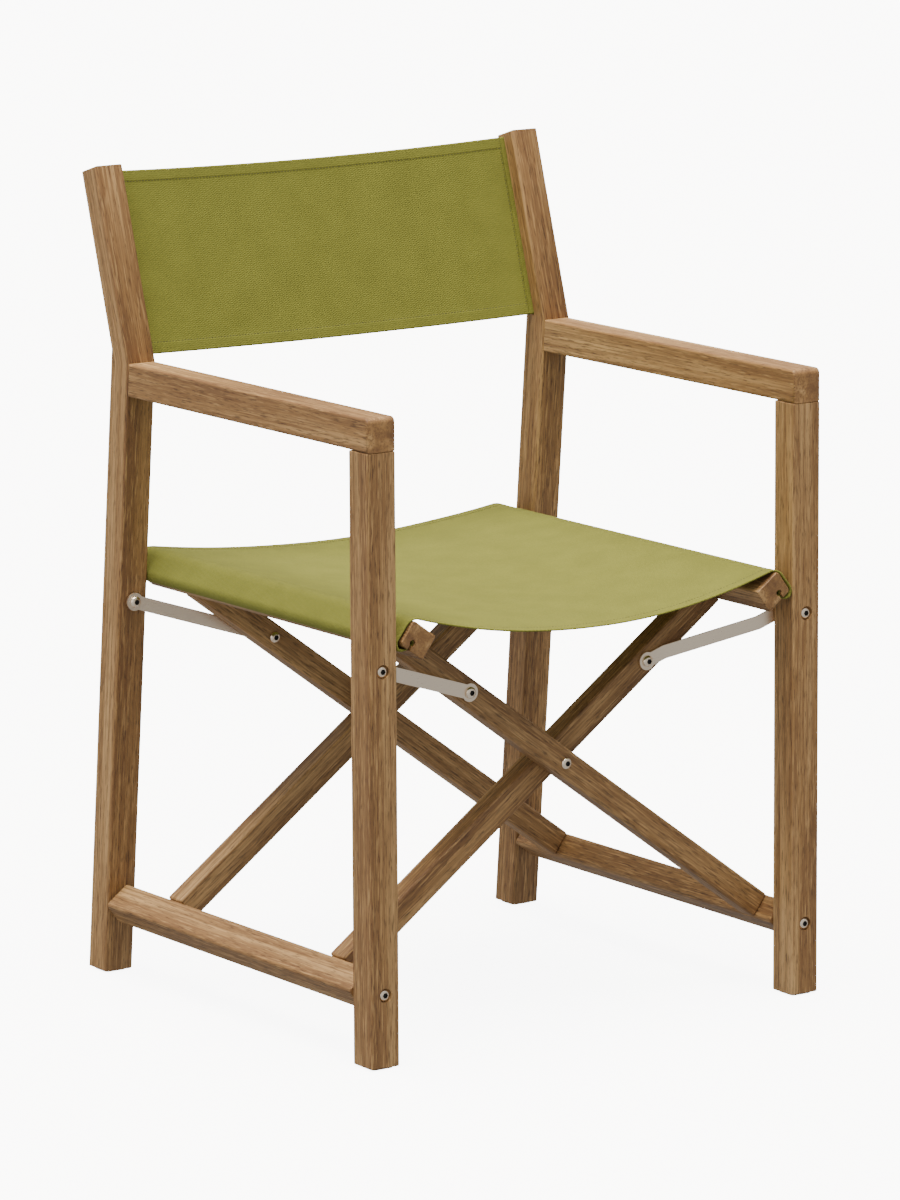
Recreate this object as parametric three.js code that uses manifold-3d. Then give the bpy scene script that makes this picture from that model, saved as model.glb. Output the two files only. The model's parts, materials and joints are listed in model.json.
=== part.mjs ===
// Folding armchair with a sling seat: two side frames, two crossed leg frames that hinge on
// them, four steel links and two canvas slings.
// Millimetres, +Z up, -Y to the front, origin on the floor under the middle of the chair.

import * as THREE from 'three';
import Module from 'manifold-3d';
import { mergeVertices } from 'three/addons/utils/BufferGeometryUtils.js';

const wasm = await Module();
wasm.setup();

// Driving dimensions
const WIDTH = 575; // over the side frames
const DEPTH = 554.6; // front face of the front posts to the heel of the back legs
const GLIDE = 1.6; // height of the foot glides
const POST_WIDTH = 34.8; // side frame members, across the chair
const POST_DEPTH = 34.8; // front post, front to back
const BACK_LEG_DEPTH = 35; // back leg below the arm, square to its face
const CREST_DEPTH = 29; // the same above the arm
const ARM_TOP = 677.5;
const ARM_THICKNESS = 35.6;
const HEEL_FRONT = 519.4; // front face of the back leg at the floor, from the front of the chair
const KINK_FRONT = 454.5; // the same at the arm top, where the leg turns back
const CREST_FRONT = 516.1; // the same at the upper end
const CREST_HEIGHT = 882.4;
const PIVOT_HEIGHT = 78.5; // lower pivots, in the middle of the posts' width
const LEG_ANGLE = THREE.MathUtils.degToRad(36.35); // crossed legs, up from the floor
const LOWER_LEG = 335.36; // lower pivot to crossing
const UPPER_LEG = 281.2; // crossing to seat rail centre
const LEG_WIDTH = 28.4; // crossed legs, in their own plane
const LEG_THICKNESS = 25.4;
const LEG_GAP = 1.4; // between crossed legs that pass each other
const OUTER_FRONT = 60; // front face of the outer frame's front leg
const INNER_BACK = 401; // front face of the inner frame's back leg
const RAIL_WIDTH = 34; // rails, along the legs
const RAIL_THICKNESS = 28.5; // rails, across the legs
const RAIL_LENGTH = 516; // seat rails, from the front of the chair
const RAIL_OUTER_CORNER = 4;
const RAIL_INNER_CORNER = 2;
const KEYHOLE_INSET = 12.5; // seat rail keyhole from the rail's outer face
const KEYHOLE_RADIUS = 3.5;
const KEYHOLE_SLIT = 3.3;
const KEYHOLE_DEPTH = 8.2; // keyhole centre below the face that its slit opens in
const ROD_RADIUS = 2.3; // rods in the sling hems
const LINK_HEIGHT = 416; // link pivots on the posts
const LINK_REACH = 153; // link pivots on the legs, from the crossing
const LINK_WIDTH = 15;
const LINK_EYE = 9.75; // radius of the links' round ends
const LINK_THICKNESS = 2.5;
const HEAD_RADIUS = 6.3; // button heads of all bolts
const HEAD_HEIGHT = 3.4;
const COUNTERBORE_RADIUS = 7.6;
const COUNTERBORE_DEPTH = 3.7;
const SLING_THICKNESS = 1.4;
const SEAT_SAG = 24;
const BACK_BOW = 6;
const BACK_GROOVE = 230; // runs out through the crest
const SLING_SETBACK = 18; // back sling behind the back leg's front face
const SLING_FOOT = 9; // lower edge of the back sling above the arm top, along the leg
const SLING_HEIGHT = 200;
const LINK_STANDOFF = 2.4; // between the back leg's leaning face and its link
const GAP = 0.3; // between pieces that touch

const POST_X = (WIDTH - POST_WIDTH) / 2;
const INNER_X = WIDTH / 2 - POST_WIDTH;
const CROSSING_HEIGHT = PIVOT_HEIGHT + LOWER_LEG * Math.sin(LEG_ANGLE);
const LOWER_LEAN = Math.atan2(HEEL_FRONT - KINK_FRONT, ARM_TOP - GLIDE);
const UPPER_LEAN = Math.atan2(CREST_FRONT - KINK_FRONT, CREST_HEIGHT - ARM_TOP);
const INNER_FRONT = OUTER_FRONT + LEG_THICKNESS + LEG_GAP;
const OUTER_BACK = INNER_BACK + LEG_THICKNESS + LEG_GAP;

const wood = new THREE.MeshStandardMaterial({ color: '#9c7248', roughness: 0.7 });
const canvas = new THREE.MeshStandardMaterial({ color: '#8c8b41', roughness: 0.95 });
const steel = new THREE.MeshStandardMaterial({ color: '#c9c6c0', roughness: 0.28, metalness: 1 });
const plastic = new THREE.MeshStandardMaterial({ color: '#26231f', roughness: 0.6 });
const fibre = new THREE.MeshStandardMaterial({ color: '#8f8c86', roughness: 0.6 });

const X = new THREE.Vector3(1, 0, 0);
const Y = new THREE.Vector3(0, 1, 0);
const Z = new THREE.Vector3(0, 0, 1);

// Distance behind the chair's front face to this model's Y
const fromFront = (distance) => distance - DEPTH / 2;

// Y of the back leg's front face at a height
function backLegFace(height) {
  const run = height < ARM_TOP ? -Math.tan(LOWER_LEAN) : Math.tan(UPPER_LEAN);
  return fromFront(KINK_FRONT + run * (height - ARM_TOP));
}

// Solids and meshes

function solidOf(geometry) {
  const bare = geometry.clone();
  bare.deleteAttribute('normal');
  bare.deleteAttribute('uv');
  const merged = mergeVertices(bare, 1e-4);
  return new wasm.Manifold(new wasm.Mesh({
    numProp: 3,
    vertProperties: Float32Array.from(merged.attributes.position.array),
    triVerts: Uint32Array.from(merged.index.array),
  }));
}

function geometryOf(solid) {
  const { vertProperties, triVerts } = solid.getMesh();
  const geometry = new THREE.BufferGeometry();
  geometry.setAttribute('position', new THREE.BufferAttribute(vertProperties, 3));
  geometry.setIndex(new THREE.BufferAttribute(triVerts, 1));
  return geometry;
}

function cut(geometry, tools) {
  const cutters = tools.map(solidOf);
  return geometryOf(cutters.reduce((solid, tool) => solid.subtract(tool), solidOf(geometry)));
}

function piece(name, geometry, material) {
  const mesh = new THREE.Mesh(geometry, material);
  mesh.name = name;
  return mesh;
}

// Turns a geometry drawn in X and Y and extruded along Z so that those three run along u, v and w
function turned(geometry, u, v, w) {
  return geometry.applyMatrix4(new THREE.Matrix4().makeBasis(u, v, w));
}

function polygon(points) {
  return new THREE.Shape(points.map(([u, v]) => new THREE.Vector2(u, v)));
}

function roundedRectangle(width, height, radius) {
  const [w, h] = [width / 2 - radius, height / 2 - radius];
  const quarter = Math.PI / 2;
  const shape = new THREE.Shape();
  shape.absarc(w, h, radius, 0, quarter);
  shape.absarc(-w, h, radius, quarter, 2 * quarter);
  shape.absarc(-w, -h, radius, 2 * quarter, 3 * quarter);
  shape.absarc(w, -h, radius, 3 * quarter, 4 * quarter);
  return shape;
}

// Extrudes an outline to a thickness about its middle, its rims rounded inside the outline
function board(shape, thickness, rim, curveSegments = 2, bevelSegments = 2) {
  const geometry = new THREE.ExtrudeGeometry(shape, {
    depth: thickness - 2 * rim,
    bevelThickness: rim,
    bevelSize: rim,
    bevelOffset: -rim,
    bevelSegments,
    curveSegments,
  });
  return geometry.translate(0, 0, rim - thickness / 2);
}

function plainBoard(shape, thickness, curveSegments = 8) {
  const geometry = new THREE.ExtrudeGeometry(shape, {
    depth: thickness,
    bevelEnabled: false,
    curveSegments,
  });
  return geometry.translate(0, 0, -thickness / 2);
}

// A cylinder along Y from one Y to another
function drill(x, z, yStart, yEnd, radius) {
  const geometry = new THREE.CylinderGeometry(radius, radius, yEnd - yStart, 16);
  return geometry.translate(x, (yStart + yEnd) / 2, z);
}

// Fasteners. Each runs along Y; its head faces -Y when facing is -1.

// Button head bolt with a hexagon socket, its bearing face at y = 0
function bolt(name, shank, length, facing) {
  const profile = [
    [0, -length],
    [shank, -length],
    [shank, 0],
    [HEAD_RADIUS, 0],
    [HEAD_RADIUS, HEAD_HEIGHT * 0.45],
    [HEAD_RADIUS * 0.62, HEAD_HEIGHT],
    [0, HEAD_HEIGHT],
  ];
  const body = new THREE.LatheGeometry(profile.map(([r, y]) => new THREE.Vector2(r, y)), 14);
  const socket = new THREE.CylinderGeometry(2.4, 2.4, HEAD_HEIGHT, 6);
  socket.translate(0, HEAD_HEIGHT * 0.9, 0);
  const geometry = cut(body, [socket]);
  if (facing < 0) geometry.rotateX(Math.PI);
  return piece(name, geometry, steel);
}

function ring(name, outer, inner, thickness, material) {
  const shape = new THREE.Shape();
  shape.absarc(0, 0, outer, 0, 2 * Math.PI);
  const hole = new THREE.Path();
  hole.absarc(0, 0, inner, 0, 2 * Math.PI, true);
  shape.holes.push(hole);
  return piece(name, turned(plainBoard(shape, thickness), Z, X, Y), material);
}

// Six-sided nut with a bore; y = 0 is its middle
function nut(name, bore) {
  const shape = new THREE.Shape();
  shape.absarc(0, 0, 6.2, 0, 2 * Math.PI);
  const hex = new THREE.Shape(shape.getPoints(6));
  const hole = new THREE.Path();
  hole.absarc(0, 0, bore, 0, 2 * Math.PI, true);
  hex.holes.push(new THREE.Path(hole.getPoints(10)));
  return piece(name, turned(plainBoard(hex, 4.5), Z, X, Y), steel);
}

// Side frames

function frontPost(name, x) {
  const front = fromFront(0);
  const top = ARM_TOP - ARM_THICKNESS - GAP;
  const length = top - GLIDE - GAP;
  const blank = board(roundedRectangle(POST_WIDTH, POST_DEPTH, 2.5), length, 1.5);
  blank.translate(x, front + POST_DEPTH / 2, GLIDE + GAP + length / 2);
  const tools = [[PIVOT_HEIGHT, 4.3], [LINK_HEIGHT, 3.3]].flatMap(([z, bore]) => [
    drill(x, z, front - 1, front + POST_DEPTH + 1, bore),
    drill(x, z, front - 1, front + COUNTERBORE_DEPTH, COUNTERBORE_RADIUS),
  ]);
  return piece(name, cut(blank, tools), wood);
}

// Side view of the back leg: leans back to the heel below the arm and to the crest above it
function backLegOutline() {
  const turn = Math.sin(LOWER_LEAN + UPPER_LEAN);
  const lowerBack = BACK_LEG_DEPTH / turn;
  const upperBack = CREST_DEPTH / turn;
  const kink = [fromFront(KINK_FRONT), ARM_TOP];
  const crest = [fromFront(CREST_FRONT), CREST_HEIGHT];
  const backKink = [
    kink[0] + lowerBack * Math.sin(UPPER_LEAN) + upperBack * Math.sin(LOWER_LEAN),
    kink[1] + lowerBack * Math.cos(UPPER_LEAN) - upperBack * Math.cos(LOWER_LEAN),
  ];
  const backCrest = [
    crest[0] + CREST_DEPTH * Math.cos(UPPER_LEAN),
    crest[1] - CREST_DEPTH * Math.sin(UPPER_LEAN),
  ];
  const foot = GLIDE + GAP;
  const slope = Math.tan(LOWER_LEAN);
  const frontFoot = [kink[0] + (kink[1] - foot) * slope, foot];
  const backFoot = [frontFoot[0] + BACK_LEG_DEPTH / Math.cos(LOWER_LEAN), foot];
  return polygon([frontFoot, backFoot, backKink, backCrest, crest, kink]);
}

// Keyhole groove for the back sling's rod, in the inner face, open at the crest
function backGroove(x, side) {
  const centre = slingPoint(0);
  const bore = new THREE.CylinderGeometry(KEYHOLE_RADIUS, KEYHOLE_RADIUS, BACK_GROOVE, 16);
  bore.translate(-side * KEYHOLE_DEPTH, BACK_GROOVE / 2, 0);
  const slit = new THREE.BoxGeometry(2 * KEYHOLE_DEPTH, BACK_GROOVE, KEYHOLE_SLIT);
  slit.translate(0, BACK_GROOVE / 2, 0);
  return [bore, slit].map((tool) => {
    tool.rotateX(Math.PI / 2 - UPPER_LEAN);
    return tool.translate(x, centre.y, centre.z);
  });
}

// Point on the back sling's line, at a distance up the leg from the sling's lower edge
function slingPoint(along) {
  const up = new THREE.Vector3(0, Math.sin(UPPER_LEAN), Math.cos(UPPER_LEAN));
  const back = new THREE.Vector3(0, Math.cos(UPPER_LEAN), -Math.sin(UPPER_LEAN));
  const kink = new THREE.Vector3(0, fromFront(KINK_FRONT), ARM_TOP);
  return kink.addScaledVector(up, SLING_FOOT + along).addScaledVector(back, SLING_SETBACK);
}

function backPost(name, x, side) {
  const blank = turned(board(backLegOutline(), POST_WIDTH, 2.5), Y, Z, X).translate(x, 0, 0);
  const pivotFace = backLegFace(PIVOT_HEIGHT);
  const heel = pivotFace + BACK_LEG_DEPTH / Math.cos(LOWER_LEAN);
  const linkFace = backLegFace(LINK_HEIGHT);
  const tools = [
    drill(x, PIVOT_HEIGHT, pivotFace - 5, heel + 5, 4.3),
    drill(x, PIVOT_HEIGHT, heel - COUNTERBORE_DEPTH, heel + 5, COUNTERBORE_RADIUS),
    drill(x, LINK_HEIGHT, linkFace - 5, linkFace + 26, 3.3),
    ...backGroove(x - side * POST_WIDTH / 2, -side),
  ];
  return piece(name, cut(blank, tools), wood);
}

function armrest(name, x) {
  const underside = ARM_TOP - ARM_THICKNESS;
  const front = fromFront(0);
  const nose = 6;
  const shape = new THREE.Shape();
  shape.moveTo(front, underside);
  shape.lineTo(backLegFace(underside) - GAP, underside);
  shape.lineTo(backLegFace(ARM_TOP) - GAP, ARM_TOP);
  shape.absarc(front + nose, ARM_TOP - nose, nose, Math.PI / 2, Math.PI);
  const geometry = turned(board(shape, POST_WIDTH, 2.8, 5, 3), Y, Z, X);
  return piece(name, geometry.translate(x, 0, 0), wood);
}

function glide(name, x, y) {
  const shape = roundedRectangle(POST_WIDTH - 9, POST_DEPTH - 9, 4);
  return piece(name, board(shape, GLIDE, 0.5, 2, 1).translate(x, y, GLIDE / 2), plastic);
}

function sideFrame(side) {
  const name = side < 0 ? 'left' : 'right';
  const x = side * POST_X;
  const front = fromFront(0);
  const linkFace = backLegFace(LINK_HEIGHT);
  const frontBolt = bolt(`link_post_bolt_${name}_front`, 3, POST_DEPTH + 9 - COUNTERBORE_DEPTH, -1);
  frontBolt.position.set(x, front + COUNTERBORE_DEPTH - GAP, LINK_HEIGHT);
  const frontNut = nut(`link_post_nut_${name}_front`, 3.2);
  frontNut.position.set(x, front + POST_DEPTH + 6.6, LINK_HEIGHT);
  const backBolt = bolt(`link_post_bolt_${name}_back`, 3, 24, -1);
  backBolt.position.set(x, linkFace - LINK_STANDOFF - LINK_THICKNESS - GAP, LINK_HEIGHT);
  const heelY = fromFront(HEEL_FRONT) + BACK_LEG_DEPTH / 2;
  return [
    frontPost(`front_post_${name}`, x),
    backPost(`back_post_${name}`, x, side),
    armrest(`armrest_${name}`, x),
    glide(`glide_${name}_front`, x, front + POST_DEPTH / 2),
    glide(`glide_${name}_back`, x, heelY),
    frontBolt,
    frontNut,
    backBolt,
    backRod(`back_rod_${name}`, side),
  ];
}

// Rod in the back sling's hem, inside the back post's groove
function backRod(name, side) {
  const rod = new THREE.CylinderGeometry(ROD_RADIUS, ROD_RADIUS, SLING_HEIGHT, 12);
  rod.rotateX(Math.PI / 2 - UPPER_LEAN);
  const middle = slingPoint(SLING_HEIGHT / 2);
  rod.translate(side * (INNER_X + KEYHOLE_DEPTH), middle.y, middle.z);
  return piece(name, rod, steel);
}

// Crossed frames. Each is drawn about the crossing, its X up along the leg.

// The rail's outer corners are rounder than its inner ones
function seatRailOutline() {
  const [w, h] = [RAIL_WIDTH / 2, RAIL_THICKNESS / 2];
  const [outer, inner] = [RAIL_OUTER_CORNER, RAIL_INNER_CORNER];
  const quarter = Math.PI / 2;
  const shape = new THREE.Shape();
  shape.absarc(w - outer, h - outer, outer, 0, quarter);
  shape.absarc(-w + inner, h - inner, inner, quarter, 2 * quarter);
  shape.absarc(-w + inner, -h + inner, inner, 2 * quarter, 3 * quarter);
  shape.absarc(w - outer, -h + outer, outer, 3 * quarter, 4 * quarter);
  return shape;
}

// slotSide is the side across the legs that the keyhole slot opens in
function seatRail(name, slotSide) {
  const blank = turned(board(seatRailOutline(), RAIL_LENGTH, 1, 4, 1), X, Z, Y.clone().negate());
  const slotX = RAIL_WIDTH / 2 - KEYHOLE_INSET;
  const slotZ = slotSide * (RAIL_THICKNESS / 2 - KEYHOLE_DEPTH);
  const end = RAIL_LENGTH / 2 + 1;
  const slit = new THREE.BoxGeometry(KEYHOLE_SLIT, 2 * end, 2 * KEYHOLE_DEPTH);
  slit.translate(slotX, 0, slotZ + slotSide * KEYHOLE_DEPTH);
  return piece(name, cut(blank, [drill(slotX, slotZ, -end, end, KEYHOLE_RADIUS), slit]), wood);
}

// Rod in the seat sling's hem, inside the seat rail's keyhole
function seatRod(name, slotSide) {
  const rod = new THREE.CylinderGeometry(ROD_RADIUS, ROD_RADIUS, RAIL_LENGTH - 16, 12);
  rod.translate(RAIL_WIDTH / 2 - KEYHOLE_INSET, 0, slotSide * (RAIL_THICKNESS / 2 - KEYHOLE_DEPTH));
  return piece(name, rod, steel);
}

function bottomRail(name, front, back) {
  const length = back - front;
  const blank = board(roundedRectangle(RAIL_WIDTH, RAIL_THICKNESS, 4), length, 1, 4, 1);
  const rail = turned(blank, X, Z, Y.clone().negate()).translate(0, (front + back) / 2, 0);
  const tools = [drill(0, 0, front - 1, front + 42, 4.3), drill(0, 0, back - 42, back + 1, 4.3)];
  return piece(name, cut(rail, tools), wood);
}

function crossedLeg(name, front) {
  const start = -LOWER_LEG + RAIL_WIDTH / 2 + GAP;
  const end = UPPER_LEG - RAIL_WIDTH / 2 - GAP;
  const outline = roundedRectangle(end - start, LEG_WIDTH, 2.6);
  const blank = turned(board(outline, LEG_THICKNESS, 2.2), X, Z, Y.clone().negate());
  blank.translate((start + end) / 2, front + LEG_THICKNESS / 2, 0);
  const tools = [0, LINK_REACH].map((x) => (
    drill(x, 0, front - 1, front + LEG_THICKNESS + 1, x === 0 ? 4.3 : 3.3)
  ));
  return piece(name, cut(blank, tools), wood);
}

// side is where the frame's seat rail lies; its bottom rail is on the other side
function crossedFrame(kind, side, legFronts) {
  const across = side < 0 ? ['left', 'right'] : ['right', 'left'];
  const front = fromFront(POST_DEPTH) + 0.6;
  const back = backLegFace(PIVOT_HEIGHT + RAIL_WIDTH / 2) - 2.4;
  const slotSide = side < 0 ? 1 : -1;
  const frame = new THREE.Group();
  const pivots = new THREE.Group();
  const rail = seatRail(`seat_rail_${across[0]}`, slotSide);
  rail.position.set(UPPER_LEG, fromFront(RAIL_LENGTH / 2), 0);
  const rod = seatRod(`seat_rod_${across[0]}`, slotSide);
  rod.position.copy(rail.position);
  const frontBolt = bolt(`pivot_bolt_${across[1]}_front`, 4, POST_DEPTH + 36, -1);
  frontBolt.position.y = fromFront(COUNTERBORE_DEPTH) - GAP;
  const heel = backLegFace(PIVOT_HEIGHT) + BACK_LEG_DEPTH / Math.cos(LOWER_LEAN);
  const backBolt = bolt(`pivot_bolt_${across[1]}_back`, 4, BACK_LEG_DEPTH + 36, 1);
  backBolt.position.y = heel - COUNTERBORE_DEPTH + GAP;
  pivots.add(bottomRail(`bottom_rail_${across[1]}`, front, back), frontBolt, backBolt);
  pivots.position.x = -LOWER_LEG;
  frame.add(
    crossedLeg(`${kind}_leg_front`, fromFront(legFronts[0])),
    crossedLeg(`${kind}_leg_back`, fromFront(legFronts[1])),
    rail,
    rod,
    pivots,
  );
  frame.position.z = CROSSING_HEIGHT;
  frame.rotation.y = side < 0 ? LEG_ANGLE - Math.PI : -LEG_ANGLE;
  return frame;
}

// Bolts through both pairs of legs at the crossing, with a washer between the legs
function crossingFasteners() {
  const pair = [
    { place: 'front', head: OUTER_FRONT - GAP, washer: INNER_FRONT - LEG_GAP / 2, facing: -1 },
    { place: 'back', head: OUTER_BACK + LEG_THICKNESS + GAP, washer: OUTER_BACK - LEG_GAP / 2, facing: 1 },
  ];
  const grip = 2 * LEG_THICKNESS + LEG_GAP;
  return pair.flatMap(({ place, head, washer, facing }) => {
    const parts = [
      bolt(`crossing_bolt_${place}`, 4, grip + 6, facing),
      ring(`crossing_washer_${place}`, 11, 4.3, 0.8, fibre),
      nut(`crossing_nut_${place}`, 4.2),
    ];
    const places = [head, washer, head - facing * (grip + 3.2)];
    parts.forEach((part, index) => part.position.set(0, fromFront(places[index]), CROSSING_HEIGHT));
    return parts;
  });
}

// Links

// Flat bar with round eyes, stepped sideways between them. Its post eye is at the origin, its
// other eye at +X; step is how far that eye stands along Y.
function linkBar(name, length, step, flat) {
  const half = LINK_THICKNESS / 2;
  const far = length - 2.4 * LINK_EYE;
  const centre = [[-LINK_EYE - 1, 0], [flat, 0], [far, step], [length + LINK_EYE + 1, step]];
  const side = polygon([
    ...centre.map(([x, y]) => [x, y - half]),
    ...centre.toReversed().map(([x, y]) => [x, y + half]),
  ]);
  const neck = Math.asin(LINK_WIDTH / 2 / LINK_EYE);
  const plan = new THREE.Shape();
  plan.absarc(0, 0, LINK_EYE, neck, 2 * Math.PI - neck);
  plan.absarc(length, 0, LINK_EYE, Math.PI + neck, 3 * Math.PI - neck);
  const bent = solidOf(plainBoard(side, 4 * LINK_EYE));
  const bar = turned(plainBoard(plan, 200, 12), X, Z, Y.clone().negate());
  const blank = geometryOf(bent.intersect(solidOf(bar)));
  const eyes = [0, length].map((x) => drill(x, 0, -90, 90, 3.3));
  return piece(name, cut(blank, eyes), steel);
}

function link(side, place) {
  const name = `${side < 0 ? 'left' : 'right'}_${place}`;
  const legX = side * LINK_REACH * Math.cos(LEG_ANGLE);
  const legZ = CROSSING_HEIGHT + LINK_REACH * Math.sin(LEG_ANGLE);
  const run = new THREE.Vector2(legX - side * POST_X, legZ - LINK_HEIGHT);
  const outer = side < 0;
  const half = LINK_THICKNESS / 2;
  const isFront = place === 'front';
  const legFace = fromFront(isFront
    ? (outer ? OUTER_FRONT : INNER_FRONT) - GAP - half
    : (outer ? OUTER_BACK : INNER_BACK) + LEG_THICKNESS + GAP + half);
  const postFace = isFront
    ? fromFront(POST_DEPTH) + 1.2 + half
    : backLegFace(LINK_HEIGHT) - LINK_STANDOFF - half;
  const group = new THREE.Group();
  const flat = outer || !isFront ? 17 : 38;
  const bar = linkBar(`link_${name}`, run.length(), legFace - postFace, flat);
  const head = isFront
    ? bolt(`link_leg_bolt_${name}`, 3, LINK_THICKNESS + GAP, -1)
    : nut(`link_leg_bolt_${name}`, 2.9);
  const offset = isFront ? -half - GAP : half + GAP + 2.25;
  head.position.set(run.length(), legFace - postFace + offset, 0);
  group.add(bar, head);
  group.position.set(side * POST_X, postFace, LINK_HEIGHT);
  group.rotation.y = -Math.atan2(run.y, run.x);
  return group;
}

// The far half of each link-to-leg fastener, which stays on the leg
function legFastener(side, place) {
  const outer = side < 0;
  const name = `${side < 0 ? 'left' : 'right'}_${place}`;
  const x = side * LINK_REACH * Math.cos(LEG_ANGLE);
  const z = CROSSING_HEIGHT + LINK_REACH * Math.sin(LEG_ANGLE);
  const legFront = place === 'front'
    ? (outer ? OUTER_FRONT : INNER_FRONT)
    : (outer ? OUTER_BACK : INNER_BACK);
  const facing = place === 'front' ? 1 : -1;
  const face = place === 'front' ? legFront + LEG_THICKNESS + GAP : legFront - GAP;
  const fastener = bolt(`leg_bolt_${name}`, 3, LEG_THICKNESS - 1, facing);
  fastener.position.set(x, fromFront(face), z);
  return fastener;
}

// Slings. Each is two halves that meet at the middle.

function strip(points, thickness, length) {
  const below = points.map(([u, v]) => [u, v]);
  const above = points.toReversed().map(([u, v]) => [u, v + thickness]);
  return plainBoard(polygon([...below, ...above]), length);
}

// Points across one half of a sling, on a parabola that sags by sag in the middle
function halfSpan(side, span, sag) {
  const steps = 10;
  return Array.from({ length: steps + 1 }, (_, index) => {
    const share = 1 - index / steps;
    const x = side * Math.max(share * span, GAP / 2);
    return [x, -sag * (1 - share * share)];
  }).sort((a, b) => a[0] - b[0]);
}

// Highest line of the seat rails' rounded upper corner
function railShoulder() {
  const corner = RAIL_OUTER_CORNER;
  const [u, v] = [RAIL_WIDTH / 2 - corner, RAIL_THICKNESS / 2 - corner];
  const [c, s] = [Math.cos(LEG_ANGLE), Math.sin(LEG_ANGLE)];
  return { x: (UPPER_LEG + u) * c - v * s, z: CROSSING_HEIGHT + (UPPER_LEG + u) * s + v * c + corner };
}

function seatSlingHalf(name, side) {
  const shoulder = railShoulder();
  const points = halfSpan(side, shoulder.x, SEAT_SAG);
  const geometry = turned(strip(points, SLING_THICKNESS, RAIL_LENGTH - 6), X, Z, Y.clone().negate());
  geometry.translate(0, fromFront(RAIL_LENGTH / 2), shoulder.z + GAP);
  return piece(name, geometry, canvas);
}

function backSlingHalf(name, side) {
  const points = halfSpan(side, INNER_X - GAP, BACK_BOW);
  const geometry = strip(points, SLING_THICKNESS, SLING_HEIGHT).translate(0, -SLING_THICKNESS / 2, 0);
  turned(geometry, X, Y.clone().negate(), Z.clone().negate());
  geometry.rotateX(-UPPER_LEAN);
  const middle = slingPoint(SLING_HEIGHT / 2);
  geometry.translate(0, middle.y, middle.z);
  return piece(name, geometry, canvas);
}

// Assembly

const chair = new THREE.Group();
chair.add(
  ...sideFrame(-1),
  ...sideFrame(1),
  crossedFrame('outer', -1, [OUTER_FRONT, OUTER_BACK]),
  crossedFrame('inner', 1, [INNER_FRONT, INNER_BACK]),
  ...crossingFasteners(),
);
for (const side of [-1, 1]) {
  const name = side < 0 ? 'left' : 'right';
  for (const place of ['front', 'back']) {
    chair.add(link(side, place), legFastener(side, place));
  }
  chair.add(
    seatSlingHalf(`seat_sling_${name}`, side),
    backSlingHalf(`back_sling_${name}`, side),
  );
}

export default chair;
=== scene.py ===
"""Folding armchair: timber, steel fittings and two canvas slings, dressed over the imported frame."""

import json
import math

import bpy
import numpy as np
from bpy.props import FloatProperty, FloatVectorProperty, PointerProperty
from mathutils import Matrix, Vector, noise


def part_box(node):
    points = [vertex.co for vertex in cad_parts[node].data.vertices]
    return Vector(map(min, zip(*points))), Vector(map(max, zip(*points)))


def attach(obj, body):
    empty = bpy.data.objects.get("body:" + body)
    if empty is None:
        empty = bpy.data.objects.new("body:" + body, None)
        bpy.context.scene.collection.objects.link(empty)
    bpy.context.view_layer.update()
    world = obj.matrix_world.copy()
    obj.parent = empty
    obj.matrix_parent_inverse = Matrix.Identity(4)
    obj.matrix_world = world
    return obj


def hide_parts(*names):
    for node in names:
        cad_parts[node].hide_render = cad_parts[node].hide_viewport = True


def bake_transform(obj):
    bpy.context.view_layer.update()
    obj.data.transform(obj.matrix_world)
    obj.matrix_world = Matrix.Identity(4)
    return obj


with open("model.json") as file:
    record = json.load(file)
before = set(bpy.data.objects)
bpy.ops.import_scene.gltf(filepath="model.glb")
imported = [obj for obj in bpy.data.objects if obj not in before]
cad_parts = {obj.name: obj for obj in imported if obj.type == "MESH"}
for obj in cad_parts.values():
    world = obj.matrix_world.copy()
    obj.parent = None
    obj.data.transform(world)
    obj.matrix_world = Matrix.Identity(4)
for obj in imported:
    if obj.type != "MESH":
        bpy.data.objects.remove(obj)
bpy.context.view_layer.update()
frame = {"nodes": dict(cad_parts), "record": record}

bl_info = {
    "name": "Folding Armchair",
    "version": (1, 0, 0),
    "blender": (4, 5, 0),
    "location": "View3D > Sidebar > Chair",
    "description": "Dresses a folding armchair in hardwood, stainless steel and canvas",
    "category": "Object",
}

MM = 0.001
LEG_ANGLE = math.radians(36.35)  # slope of the crossed legs
ARM_TOP = 0.6775
LOWER_LEAN = 0.0963  # back post, run over rise below the arm top
UPPER_LEAN = 0.3006  # and above it, the other way
RAIL_HALF = (0.017, 0.01425)  # seat rail section, along the leg and square to it
RAIL_CORNER = 0.004
RAIL_REACH = 0.2812  # crossing to seat rail centre
SLOT_INSET = 0.0125  # keyhole centre from the rail's outer face
SLOT_DEPTH = 0.0082
CROSSING_HEIGHT = 0.27727
BACK_KINK = 0.1772  # front face of the back post at the arm top
SLING_FOOT = 0.011  # back sling above the arm top, along the post
SLING_HEIGHT = 0.198
SLING_WIDTH = 0.5094  # back canvas from groove to groove
SLING_SETBACK = 0.018  # back sling behind the post's front face
POST_INNER = 0.2527  # inner face of a back post
SIDE_SEAM = 9.2 * MM  # upright seams, from the back canvas's side edges
RAIL_OVERHANG = 3 * MM  # seat rail beyond the canvas at either end
SEAT_HALF_SPAN = 0.225  # for the slope at which the seat leaves its rails
SLEEVE_START = 0.233  # flat position at which the sleeve goes on from the seat
CLOTH_ROLL = 0.010  # how far the canvas rounds off over the seat rail's corner
CLOTH_CLEAR = 0.0008
STITCH_PITCH = 1.3  # spacing of the stitches over their length
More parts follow.
